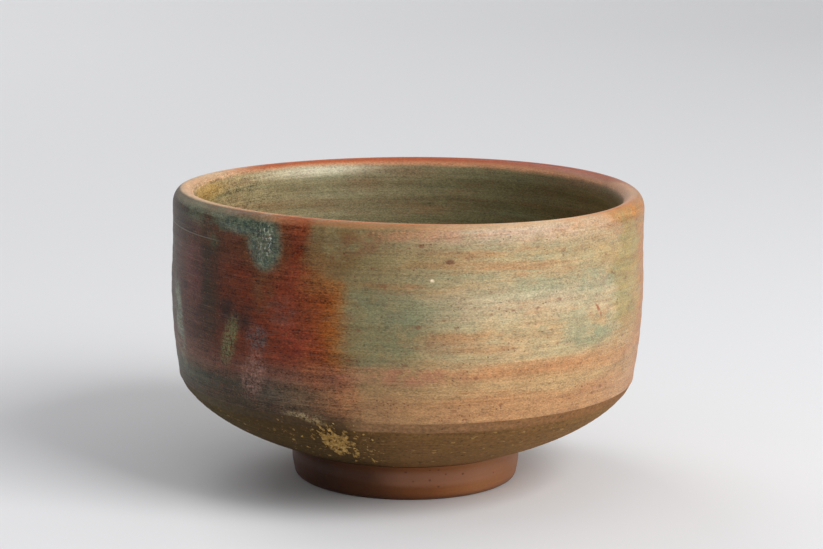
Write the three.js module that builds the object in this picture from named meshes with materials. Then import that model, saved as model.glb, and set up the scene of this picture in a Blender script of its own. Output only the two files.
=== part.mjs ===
// A hand-thrown matcha bowl: a stoneware body, a foot ring luted under it, the glaze that covers the
// body inside and out down to the shoulder, a thicker run of ash glaze at the rim, and a crust of kiln
// ash below the glaze. Millimetres, +Z up. The origin is on the resting plane under the bowl's centre,
// and the front faces -Y.
import * as THREE from "three";
import { mergeVertices } from "three/addons/utils/BufferGeometryUtils.js";

// Driving dimensions
const BOWL_RADIUS = 59.9; // over the glaze, at the belly
const BOWL_HEIGHT = 74.25; // over the glaze, at the mean height of the rim
const GLAZE_THICKNESS = 0.5;
const JOINT_GAP = 0.3; // between any two pieces that are bonded face to face
const GLAZE_LINE = 27.2; // height at which the glaze stops
const GLAZE_PROUD = 0.15; // how far the glaze stands proud of the bare clay where it stops
const WALL = 5; // clay thickness of the upright wall
const FLOOR = 13.4; // height of the clay floor at the bottom of the tea pool
const FOOT_HEIGHT = 9;
const FOOT_RADIUS = 29.2;
const FOOT_WALL = 7.4;
const RIM_WAVE = 0.45; // how far the rim rises and dips from its mean height

// Worked out from the driving dimensions
const COAT = JOINT_GAP + GLAZE_THICKNESS; // how far the glaze surface stands off the clay
const CLAY_RADIUS = BOWL_RADIUS - COAT;
const CLAY_CREST = BOWL_HEIGHT - COAT;
const INNER_RADIUS = CLAY_RADIUS - WALL;
const SHOULDER_RADIUS = CLAY_RADIUS - 1.8; // under the glaze, where it stops
const FOOT_INNER_RADIUS = FOOT_RADIUS - FOOT_WALL;

const SEGMENTS = 60; // steps round the bowl
const LENS_SIDES = 30; // steps round the run and the crust, and rings from their middle to their edge
const LENS_RINGS = 5;
const LENS_EDGE = 0.25; // share of their thickness that is left at the edge
const UP = new THREE.Vector2(0, 1);

// --------------------------------------------------------------------------- profile helpers

function point(radius, height) {
  return new THREE.Vector2(radius, height);
}

// Points on a smooth curve through the knots, which it includes.
function smooth(knots, stepsPerSpan) {
  const curve = new THREE.CatmullRomCurve3(
    knots.map((knot) => new THREE.Vector3(knot.x, knot.y, 0)),
    false,
    "centripetal",
  );
  const steps = (knots.length - 1) * stepsPerSpan;
  return curve.getPoints(steps).map((p) => point(p.x, p.y));
}

// Points on an elliptical arc, without its first one. Angles are in quarter turns.
function arc(centre, radii, from, to, steps) {
  const quarter = Math.PI / 2;
  const curve = new THREE.EllipseCurve(
    centre.x, centre.y, radii.x, radii.y, from * quarter, to * quarter, to < from, 0,
  );
  return curve.getPoints(steps).slice(1);
}

// The outward normal of a profile at one of its points. The solid is on the left of the profile's
// direction.
function normalAt(profile, index) {
  if (profile[index].x === 0) return UP;
  const before = profile[Math.max(index - 1, 0)];
  const after = profile[Math.min(index + 1, profile.length - 1)];
  const along = after.clone().sub(before);
  return point(along.y, -along.x).normalize();
}

// The profile moved outwards by a distance.
function offset(profile, distance) {
  return profile.map((p, index) => p.clone().addScaledVector(normalAt(profile, index), distance));
}

// ----------------------------------------------------------------------------- clay profiles

// The bare haunch, from the foot ring's seat up to the brim of a narrow ledge. The brim stands out by
// nearly the coat, so that the glaze ends almost flush with the bare clay.
function haunch() {
  return smooth(
    [
      point(FOOT_RADIUS + 1.8, FOOT_HEIGHT + JOINT_GAP),
      point(40.6, 13),
      point(48.2, 17),
      point(53.6, 21),
      point(56.4, 24),
      point(SHOULDER_RADIUS + COAT - GLAZE_PROUD, GLAZE_LINE - 2 * JOINT_GAP),
    ],
    2,
  );
}

// The outside of the clay under the glaze, from the back of the ledge up to where the lip rounds over.
function glazedClay() {
  const wall = smooth(
    [
      point(SHOULDER_RADIUS, GLAZE_LINE),
      point(CLAY_RADIUS - 0.6, 36),
      point(CLAY_RADIUS, 48),
      point(CLAY_RADIUS - 0.3, 61),
      point(CLAY_RADIUS - 0.2, 70.4),
    ],
    2,
  );
  return [point(SHOULDER_RADIUS, GLAZE_LINE - JOINT_GAP), ...wall];
}

// The rounded lip: a tight turn outside the crest and a softer one inside it.
function lip(outerEnd, innerStart) {
  const crestRadius = 57;
  const outside = point(outerEnd.x - crestRadius, CLAY_CREST - outerEnd.y);
  const inside = point(crestRadius - innerStart.x, CLAY_CREST - innerStart.y);
  return [
    ...arc(point(crestRadius, outerEnd.y), outside, 0, 1, 4),
    ...arc(point(crestRadius, innerStart.y), inside, 1, 2, 4),
  ];
}

// The inside of the clay, from the lip down to the tea pool at the middle of the floor.
function innerClay() {
  return smooth(
    [
      point(INNER_RADIUS + 0.1, 68.4),
      point(INNER_RADIUS - 0.2, 45),
      point(INNER_RADIUS - 1.9, 34),
      point(47.2, 25.2),
      point(39.5, 18.9),
      point(27, FLOOR + 1.8),
      point(13, FLOOR + 0.8),
      point(0, FLOOR),
    ],
    2,
  );
}

const OUTSIDE = [...haunch(), ...glazedClay()];
const INSIDE = innerClay();
const WALL_AND_LIP = [...OUTSIDE, ...lip(OUTSIDE.at(-1), INSIDE[0]), ...INSIDE.slice(1)];

// ---------------------------------------------------------------------------------- geometry

// The hand-thrown rim isn't level: it rises and dips twice round the bowl, and the wave dies out
// towards the glaze line.
function waveAt(x, y, z) {
  const fade = THREE.MathUtils.smoothstep(z, GLAZE_LINE, BOWL_HEIGHT);
  return RIM_WAVE * fade * Math.sin(2 * Math.atan2(y, x));
}

function waved(geometry) {
  const at = geometry.getAttribute("position");
  for (let i = 0; i < at.count; i += 1) {
    at.setZ(i, at.getZ(i) + waveAt(at.getX(i), at.getY(i), at.getZ(i)));
  }
  return geometry;
}

// A profile turned round the upright axis.
function turned(profile) {
  return new THREE.LatheGeometry(profile, SEGMENTS).rotateX(Math.PI / 2);
}

// Radius, height and outward normal of the outer wall where it passes a height.
function wallAt(profile, height) {
  const index = profile.findIndex((p) => p.y >= height);
  const low = profile[index - 1];
  const high = profile[index];
  const share = (height - low.y) / (high.y - low.y);
  return { at: low.clone().lerp(high, share), normal: normalAt([low, high], 0) };
}

// A thin lens that lies on the outer wall, as rings of points, each on its bonded side and on its open
// side. Its outline is drawn out to its width and height, and waves make it uneven. spread holds its
// half sizes: degrees round the bowl, and millimetres of height.
function lensVertices({ profile, angle, height, spread, unevenness, thickness }) {
  const vertices = [];
  for (let side = 0; side < LENS_SIDES; side += 1) {
    const turn = (2 * Math.PI * side) / LENS_SIDES;
    const edge = 1 + unevenness * (Math.sin(3 * turn + 1) + 0.6 * Math.sin(5 * turn));
    for (let ring = 0; ring <= LENS_RINGS; ring += 1) {
      const share = ring / LENS_RINGS;
      const wall = wallAt(profile, height + spread.y * share * edge * Math.sin(turn));
      const around = THREE.MathUtils.degToRad(angle + spread.x * share * edge * Math.cos(turn));
      const crown = 1 - (1 - LENS_EDGE) * share ** 2;
      for (const lift of [JOINT_GAP, JOINT_GAP + thickness * crown]) {
        const where = wall.at.clone().addScaledVector(wall.normal, lift);
        vertices.push(where.x * Math.cos(around), where.x * Math.sin(around), where.y);
      }
    }
  }
  return vertices;
}

// The lens's triangles: its open side, its bonded side and the narrow band round its edge.
function lensFaces() {
  const rowLength = 2 * (LENS_RINGS + 1);
  const bonded = (side, ring) => (side % LENS_SIDES) * rowLength + 2 * ring;
  const open = (side, ring) => bonded(side, ring) + 1;
  const faces = [];
  for (let side = 0; side < LENS_SIDES; side += 1) {
    const next = side + 1;
    for (let ring = 0; ring < LENS_RINGS; ring += 1) {
      faces.push(open(side, ring), open(side, ring + 1), open(next, ring + 1));
      faces.push(open(side, ring), open(next, ring + 1), open(next, ring));
      faces.push(bonded(side, ring), bonded(next, ring + 1), bonded(side, ring + 1));
      faces.push(bonded(side, ring), bonded(next, ring), bonded(next, ring + 1));
    }
    faces.push(bonded(side, LENS_RINGS), bonded(next, LENS_RINGS), open(next, LENS_RINGS));
    faces.push(bonded(side, LENS_RINGS), open(next, LENS_RINGS), open(side, LENS_RINGS));
  }
  return faces;
}

function lens(shape) {
  const geometry = new THREE.BufferGeometry();
  geometry.setAttribute("position", new THREE.Float32BufferAttribute(lensVertices(shape), 3));
  geometry.setIndex(lensFaces());
  return mergeVertices(geometry);
}

// ------------------------------------------------------------------------------------ pieces

// The thrown body. Under it a shallow boss drops inside the foot ring and keeps the ring central.
function bowlBody() {
  const bossRadius = FOOT_INNER_RADIUS - JOINT_GAP;
  const bossDrop = 2.3;
  const seat = FOOT_HEIGHT + JOINT_GAP;
  const underside = [
    point(0, seat - bossDrop),
    point(bossRadius, seat - bossDrop),
    point(bossRadius, seat),
  ];
  return waved(turned([...underside, ...WALL_AND_LIP]));
}

// The foot ring, a separate coil of clay turned true: flared where it meets the body, and rounded where
// it rests.
function footRing() {
  const restOuter = point(FOOT_RADIUS - 1.9, 0);
  const profile = [
    point(FOOT_INNER_RADIUS, FOOT_HEIGHT),
    point(FOOT_INNER_RADIUS, 2),
    point(FOOT_INNER_RADIUS + 0.5, 0.6),
    point(FOOT_INNER_RADIUS + 1.3, 0),
    restOuter,
    ...arc(point(restOuter.x, 1.7), point(1.4, 1.7), -1, 0, 4),
    point(FOOT_RADIUS, 4.5),
    point(FOOT_RADIUS + 0.15, 7.5),
    point(FOOT_RADIUS + 1.1, FOOT_HEIGHT),
  ];
  return turned([...profile, profile[0].clone()]);
}

// The glaze coat, one skin from the glaze line up over the lip and down to the tea pool.
function glazeCoat() {
  const covered = WALL_AND_LIP.slice(OUTSIDE.findIndex((p) => p.y >= GLAZE_LINE));
  return waved(turned([...offset(covered, JOINT_GAP).reverse(), ...offset(covered, COAT)]));
}

// The run of thicker ash glaze that hangs below the rim at the front left.
function ashGlazeRun() {
  return waved(
    lens({
      profile: offset(OUTSIDE, COAT),
      angle: -123.5,
      height: 65.8,
      spread: point(5, 4.2),
      unevenness: 0.06,
      thickness: 0.4,
    }),
  );
}

// The crust of kiln ash that melted onto the bare clay under the glaze line.
function ashCrust() {
  return lens({
    profile: OUTSIDE,
    angle: -107.9,
    height: 18.8,
    spread: point(5.6, 4.6),
    unevenness: 0.1,
    thickness: 0.8,
  });
}

const PIECES = [
  ["bowl_body", bowlBody, { color: 0x6a4a2e, roughness: 0.85, metalness: 0 }],
  ["foot_ring", footRing, { color: 0x8c4f31, roughness: 0.6, metalness: 0 }],
  ["glaze_coat", glazeCoat, { color: 0xb09a70, roughness: 0.35, metalness: 0 }],
  ["ash_glaze_run", ashGlazeRun, { color: 0x64796c, roughness: 0.3, metalness: 0 }],
  ["ash_crust", ashCrust, { color: 0xbe9a5c, roughness: 0.8, metalness: 0 }],
];

const bowl = new THREE.Group();
for (const [name, shape, finish] of PIECES) {
  const geometry = shape();
  geometry.computeVertexNormals();
  const mesh = new THREE.Mesh(geometry, new THREE.MeshStandardMaterial(finish));
  mesh.name = name;
  bowl.add(mesh);
}

export default bowl;
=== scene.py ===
"""Looks of a hand-thrown matcha bowl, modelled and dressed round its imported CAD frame."""

from __future__ import annotations

import copy
import logging
import math
from collections.abc import Callable, Iterable, Iterator, Mapping, Sequence
from contextlib import contextmanager
from dataclasses import dataclass
from enum import Enum

import bpy
from mathutils import Matrix, Vector, noise

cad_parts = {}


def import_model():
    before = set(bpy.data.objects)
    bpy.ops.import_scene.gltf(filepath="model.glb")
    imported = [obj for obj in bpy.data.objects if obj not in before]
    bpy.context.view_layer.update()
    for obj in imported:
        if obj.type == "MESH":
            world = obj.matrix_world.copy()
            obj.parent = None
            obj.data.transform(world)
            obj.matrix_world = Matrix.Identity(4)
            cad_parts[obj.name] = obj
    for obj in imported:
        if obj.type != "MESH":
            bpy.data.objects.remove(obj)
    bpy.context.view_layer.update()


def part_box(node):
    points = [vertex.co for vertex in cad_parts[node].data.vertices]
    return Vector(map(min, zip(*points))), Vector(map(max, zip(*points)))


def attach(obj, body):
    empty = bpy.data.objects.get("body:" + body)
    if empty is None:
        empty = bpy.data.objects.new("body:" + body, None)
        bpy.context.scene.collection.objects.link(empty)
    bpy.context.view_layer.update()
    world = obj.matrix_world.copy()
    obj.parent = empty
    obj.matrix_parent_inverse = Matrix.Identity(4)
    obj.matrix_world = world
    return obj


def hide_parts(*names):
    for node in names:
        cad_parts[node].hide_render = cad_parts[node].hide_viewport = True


log = logging.getLogger("matcha_bowl")

MM = 0.001
BODY = "root"
BOWL_MIDDLE = Vector((0, 0, 40 * MM))
GLAZE_LINE = 27.2 * MM
RIM_WAVE = 0.45 * MM
FOOT_WALL = 7.4 * MM
WHEEL_STEPS = 240

Colour = tuple[float, float, float, float]
Outline = list[Vector]
Source = object  # a Value, a socket, or a plain number, vector or colour


class Slot(Enum):
    """Names for the material slots; the pieces below are not given them."""

    STONEWARE = "stoneware_body"
    FOOT_CLAY = "foot_clay"
    SATIN_GLAZE = "satin_glaze"
    ASH_GLAZE = "ash_glaze"
    KILN_ASH = "kiln_ash"


# --------------------------------------------------------------------------------- outline


def at(radius: float, height: float) -> Vector:
    """A point of an outline, from its radius and height in millimetres."""
    return Vector((radius * MM, height * MM))


def clamped(share: float) -> float:
    """A share held between 0 and 1."""
    return min(1.0, max(0.0, share))


def eased(share: float) -> float:
    """A share held between 0 and 1, that starts and ends softly."""
    held = clamped(share)
    return held * held * (3 - 2 * held)


def smooth_curve(knots: Sequence[Vector], spacing: float) -> Outline:
    """Draws a smooth curve through a few knots.

    Args:
        knots: the points that the curve passes through.
        spacing: the distance between the points that it returns.

    Returns:
        Points from the first knot to the last, along centripetal Catmull-Rom spans.
    """
    first, last = knots[0], knots[-1]
    padded = [2 * first - knots[1], *knots, 2 * last - knots[-2]]
    points = [first.copy()]
    for a, b, c, d in zip(padded, padded[1:], padded[2:], padded[3:]):
        steps = max(1, round((c - b).length / spacing))
        ta = 0.0
        tb = ta + math.sqrt((b - a).length)
        tc = tb + math.sqrt((c - b).length)
        td = tc + math.sqrt((d - c).length)
        for step in range(1, steps + 1):
            t = tb + (tc - tb) * step / steps
            ab = a.lerp(b, (t - ta) / (tb - ta))
            bc = b.lerp(c, (t - tb) / (tc - tb))
            cd = c.lerp(d, (t - tc) / (td - tc))
            abc = ab.lerp(bc, (t - ta) / (tc - ta))
            bcd = bc.lerp(cd, (t - tb) / (td - tb))
            points.append(abc.lerp(bcd, (t - tb) / (tc - tb)))
    return points


def quarter_turn(centre: Vector, radii: Vector, start: float, steps: int) -> Outline:
    """Draws a quarter of an ellipse, without its first point.

    Args:
        centre: the ellipse's centre.
        radii: its half width and half height.
        start: where the quarter starts, in quarter turns from the +radius direction.
        steps: how many points it has.

    Returns:
        The points in the direction of growing angle.
    """
    angles = [(start + step / steps) * math.pi / 2 for step in range(1, steps + 1)]
    return [
        centre + Vector((radii.x * math.cos(angle), radii.y * math.sin(angle)))
        for angle in angles
    ]


def normal_at(outline: Outline, index: int) -> Vector:
    """The outward normal of an outline whose solid is on the left of its direction.

    Args:
        outline: its points.
        index: which point is meant.

    Returns:
        A unit vector, straight up on the axis.
    """
    if abs(outline[index].x) < 1e-9:
        return Vector((0, 1))
    before = outline[max(index - 1, 0)]
    after = outline[min(index + 1, len(outline) - 1)]
    along = (after - before).normalized()
    return Vector((along.y, -along.x))


def moved_out(outline: Outline, distance: Callable[[Vector], float]) -> Outline:
    """Moves an outline outwards.

    Args:
        outline: the points to move.
        distance: gives how far a point moves.

    Returns:
        The moved points.
    """
    return [
        point + normal_at(outline, index) * distance(point)
        for index, point in enumerate(outline)
    ]


@dataclass(frozen=True)
class TurningTool:
    """The tool that trimmed the haunch below a low edge, and left fine ridges on it."""

    edge: float = 24.5 * MM
    depth: float = 0.14 * MM
    ridge: float = 0.035 * MM
    pitch: float = 1.3 * MM

    def cut_at(self, point: Vector) -> float:
        """How far the tool moved a point of the outline, in metres and inwards below zero.

        Args:
            point: radius and height on the outline.

        Returns:
            The move, in metres.
        """
        below = clamped((self.edge - point.y) / (0.5 * MM))
        near_seat = clamped((point.y - 10 * MM) / (2 * MM))
        ripple = math.sin(2 * math.pi * point.x / self.pitch)
        return below * near_seat * (self.ridge * ripple - self.depth)


@dataclass(frozen=True)
class BowlShape:
    """The bowl's outline in metres, worked out from the sizes of the CAD frame."""

    clay_radius: float
    crest: float
    seat: float
    recess: float
    coat: float
    foot_height: float
    foot_radius: float
    glaze_line: float = GLAZE_LINE
    glaze_proud: float = 0.06 * MM
    gap: float = 0.3 * MM
    wall: float = 5 * MM
    floor: float = 13.4 * MM
    crest_radius: float = 57 * MM
    rim_wave: float = RIM_WAVE

    @classmethod
    def from_frame(cls) -> BowlShape:
        """Reads the boxes of the CAD nodes.

        Returns:
            The shape.
        """
        body_low, body_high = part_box("bowl_body")
        coat_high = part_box("glaze_coat")[1]
        foot_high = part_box("foot_ring")[1]
        return cls(
            clay_radius=body_high.x,
            crest=body_high.z - cls.rim_wave,
            seat=foot_high.z + cls.gap,
            recess=body_low.z,
            coat=coat_high.x - body_high.x,
            foot_height=foot_high.z,
            foot_radius=foot_high.x - 1.1 * MM,
        )

    @property
    def shoulder(self) -> float:
        """The clay's radius under the glaze, where the glaze stops."""
        return self.clay_radius - 1.8 * MM

    @property
    def lip_outside(self) -> Vector:
        """Where the outer wall turns into the lip."""
        return Vector((self.clay_radius - 0.2 * MM, 70.4 * MM))

    @property
    def lip_inside(self) -> Vector:
        """Where the lip turns into the inner wall."""
        return Vector((self.clay_radius - self.wall + 0.1 * MM, 68.4 * MM))

    def haunch(self) -> Outline:
        """The bare clay from the foot ring's seat up to the brim where the glaze stops.

        Returns:
            Its points, from the foot ring outwards.
        """
        brim = self.shoulder + self.coat - self.glaze_proud
        knots = [
            Vector((self.foot_radius + 1.8 * MM, self.seat)),
            at(40.6, 13),
            at(48.2, 17),
            at(53.6, 21),
            at(56.4, 24),
            Vector((brim, self.glaze_line - 0.3 * MM)),
        ]
        trimmed = moved_out(smooth_curve(knots, 0.3 * MM), TurningTool().cut_at)
        return [*trimmed, Vector((self.shoulder - 0.3 * MM, self.glaze_line))]

    def outer_wall(self, spacing: float) -> Outline:
        """The clay's outside from the glaze line up to the lip.

        Args:
            spacing: the distance between its points.

        Returns:
            Its points, upwards.
        """
        radius = self.clay_radius
        knots = [
            Vector((self.shoulder, self.glaze_line)),
            Vector((radius - 0.6 * MM, 36 * MM)),
            Vector((radius, 48 * MM)),
            Vector((radius - 0.3 * MM, 61 * MM)),
            self.lip_outside,
        ]
        return smooth_curve(knots, spacing)

    def lip(self, steps: int) -> Outline:
        """The rounded lip: a tight turn outside its crest and a softer one inside.

        Args:
            steps: how many points each half has.

        Returns:
            Its points, from outside to inside.
        """
        middle = self.crest_radius
        points = []
        for quarter, end in enumerate((self.lip_outside, self.lip_inside)):
            radii = Vector((abs(end.x - middle), self.crest - end.y))
            points += quarter_turn(Vector((middle, end.y)), radii, quarter, steps)
        return points

    def inner_wall(self, spacing: float) -> Outline:
        """The clay's inside from the lip down to the tea pool, without its first point.

        Args:
            spacing: the distance between its points.

        Returns:
            Its points, from the lip to the axis.
        """
        radius = self.clay_radius - self.wall
        knots = [
            self.lip_inside,
            Vector((radius - 0.2 * MM, 45 * MM)),
            Vector((radius - 1.9 * MM, 34 * MM)),
            at(47.2, 25.2),
            at(39.5, 18.9),
            Vector((27 * MM, self.floor + 1.8 * MM)),
            Vector((13 * MM, self.floor + 0.8 * MM)),
            Vector((0, self.floor)),
        ]
        return smooth_curve(knots, spacing)[1:]


@dataclass(frozen=True)
class ThrowingMarks:
    """The low ridges that the fingers leave in the turning clay."""

    pitch: float = 5.2 * MM
    outer_depth: float = 0.035 * MM
    inner_depth: float = 0.1 * MM

    def height_at(self, point: Vector) -> float:
        """How far a point of the outline stands out.

        Args:
            point: radius and height on the outline.

        Returns:
            The ridge's height there, in metres.
        """
        travel = point.y + max(0.0, 40 * MM - point.x)
        phase = 2 * math.pi * travel / self.pitch
        ripple = math.sin(phase) + 0.5 * math.sin(2.3 * phase + 1) + 0.3 * math.sin(0.43 * phase)
        inside = point.x < 56 * MM
        depth = self.inner_depth if inside else self.outer_depth
        calm_at_lip = clamped((71 * MM - point.y) / (4 * MM))
        calm_at_axis = clamped(point.x / (6 * MM))
        return depth * ripple * calm_at_lip * calm_at_axis


@dataclass(frozen=True)
class HandShake:
    """The slow unevenness of a wall that was shaped by hand, the same for every piece."""

    depth: float = 0.22 * MM
    reach: float = 34 * MM
    rim_wave: float = RIM_WAVE
    wave_from: float = GLAZE_LINE
    wave_to: float = 74.25 * MM

    def moved(self, point: Vector) -> Vector:
        """Moves a point of the bowl in or out, and up or down with the rim's wave.

        Args:
            point: a place on the bowl.

        Returns:
            Where the potter's hand left it.
        """
        radius = math.hypot(point.x, point.y)
        if radius < 1e-6:
            return point.copy()
        above_foot = clamped((point.z - 10 * MM) / (20 * MM))
        swell = noise.noise(Vector((point.x, point.y, 1.6 * point.z)) / self.reach)
        away = Vector((point.x, point.y, 0)) / radius
        fade = eased((point.z - self.wave_from) / (self.wave_to - self.wave_from))
        rise = self.rim_wave * fade * math.sin(2 * math.atan2(point.y, point.x))
        return point + away * swell * self.depth * above_foot + Vector((0, 0, rise))


HAND = HandShake()


# ------------------------------------------------------------------------------ modelling


def deselect_all() -> None:
    """Leaves object mode with nothing selected."""
    if bpy.context.mode != "OBJECT":
        bpy.ops.object.mode_set(mode="OBJECT")
    bpy.ops.object.select_all(action="DESELECT")


@contextmanager
def edit_mode() -> Iterator[None]:
    """Works on the active piece in edit mode, and leaves it again.

    Returns:
        Nothing; the lines below it run in edit mode.
    """
    bpy.ops.object.mode_set(mode="EDIT")
    yield
    bpy.ops.object.mode_set(mode="OBJECT")


def named(name: str) -> bpy.types.Object:
    """Names the piece that was just added, and its mesh.

    Args:
        name: the new name.

    Returns:
        The piece.
    """
    piece = bpy.context.object
    piece.name = name
    piece.data.name = name
    return piece


def turn_on_wheel(name: str, outline: Outline, steps: int) -> bpy.types.Object:
    """Draws an outline point by point in edit mode, and spins it round the upright axis.

    Args:
        name: the new piece's name.
        outline: radius and height of its points, from and back to the axis or closed.
        steps: how many steps the full turn has.

    Returns:
        The turned piece, closed, with its normals outwards.
    """
    deselect_all()
    start = outline[0]
    bpy.ops.mesh.primitive_plane_add(size=MM, location=(start.x, 0, start.y))
    piece = named(name)
    bpy.ops.object.transform_apply(location=True, rotation=True, scale=True)
    with edit_mode():
        bpy.ops.mesh.select_mode(type="VERT")
        bpy.ops.mesh.select_all(action="SELECT")
        bpy.ops.mesh.merge(type="CENTER")
        for before, after in zip(outline, outline[1:]):
            move = {"value": (after.x - before.x, 0, after.y - before.y)}
            bpy.ops.mesh.extrude_vertices_move(TRANSFORM_OT_translate=move)
        bpy.ops.mesh.select_all(action="SELECT")
        bpy.ops.mesh.spin(steps=steps, angle=2 * math.pi, center=(0, 0, 0), axis=(0, 0, 1))
        bpy.ops.mesh.select_all(action="SELECT")
        bpy.ops.mesh.remove_doubles(threshold=0.002 * MM)
        bpy.ops.mesh.normals_make_consistent(inside=False)
    return piece


def shake(piece: bpy.types.Object) -> None:
    """Gives a turned piece the hand's unevenness."""
    for vertex in piece.data.vertices:
        vertex.co = HAND.moved(vertex.co)


def shade_smooth(piece: bpy.types.Object, angle: float) -> None:
    """Shades a piece smooth, apart from edges sharper than an angle in degrees.

    Args:
        piece: the piece to shade.
        angle: the sharpest edge that comes out smooth.
    """
    deselect_all()
    piece.select_set(True)
    bpy.context.view_layer.objects.active = piece
    bpy.ops.object.shade_smooth_by_angle(angle=math.radians(angle))


def settle(piece: bpy.types.Object, node: str, material: bpy.types.Material) -> None:
    """Dresses a finished piece and hands it to the frame.

    Args:
        piece: the finished piece, in place.
        node: the CAD node that it stands for.
        material: its finish.
    """
    piece.data.materials.clear()
    piece.data.materials.append(material)
    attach(piece, BODY)
    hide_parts(node)
    log.info("%s: %d faces, stands for %s", piece.name, len(piece.data.polygons), node)


# --------------------------------------------------------------------------------- shaders


def fired(red: float, green: float, blue: float) -> Colour:
    """A colour as the eye reads it, from 0 to 255, turned into amounts of light.

    Args:
        red: its red.
        green: its green.
        blue: its blue.

    Returns:
        Red, green and blue light from 0 to 1, and full cover.
    """
    shares = [channel / 255 for channel in (red, green, blue)]
    light = [s / 12.92 if s <= 0.04045 else ((s + 0.055) / 1.055) ** 2.4 for s in shares]
    return (light[0], light[1], light[2], 1.0)


class Value:
    """A number that changes over a surface, with Python's arithmetic."""

    def __init__(self, nodes: Nodes, socket: bpy.types.NodeSocket) -> None:
        """Wraps a socket.

        Args:
            nodes: the tree that the socket belongs to.
            socket: an output that gives a number.
        """
        self.nodes = nodes
        self.socket = socket

    def __add__(self, other: Value | float) -> Value:
        """The sum."""
        return self.nodes.math("ADD", self, other)

    def __radd__(self, other: float) -> Value:
        """The sum, with a plain number first."""
        return self.nodes.math("ADD", other, self)

    def __sub__(self, other: Value | float) -> Value:
        """The difference."""
        return self.nodes.math("SUBTRACT", self, other)

    def __rsub__(self, other: float) -> Value:
        """The difference, with a plain number first."""
        return self.nodes.math("SUBTRACT", other, self)

    def __mul__(self, other: Value | float) -> Value:
        """The product."""
        return self.nodes.math("MULTIPLY", self, other)

    def __rmul__(self, other: float) -> Value:
        """The product, with a plain number first."""
        return self.nodes.math("MULTIPLY", other, self)

    def __truediv__(self, other: Value | float) -> Value:
        """The quotient."""
        return self.nodes.math("DIVIDE", self, other)

    def __pow__(self, other: float) -> Value:
        """The power."""
        return self.nodes.math("POWER", self, other)


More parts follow.
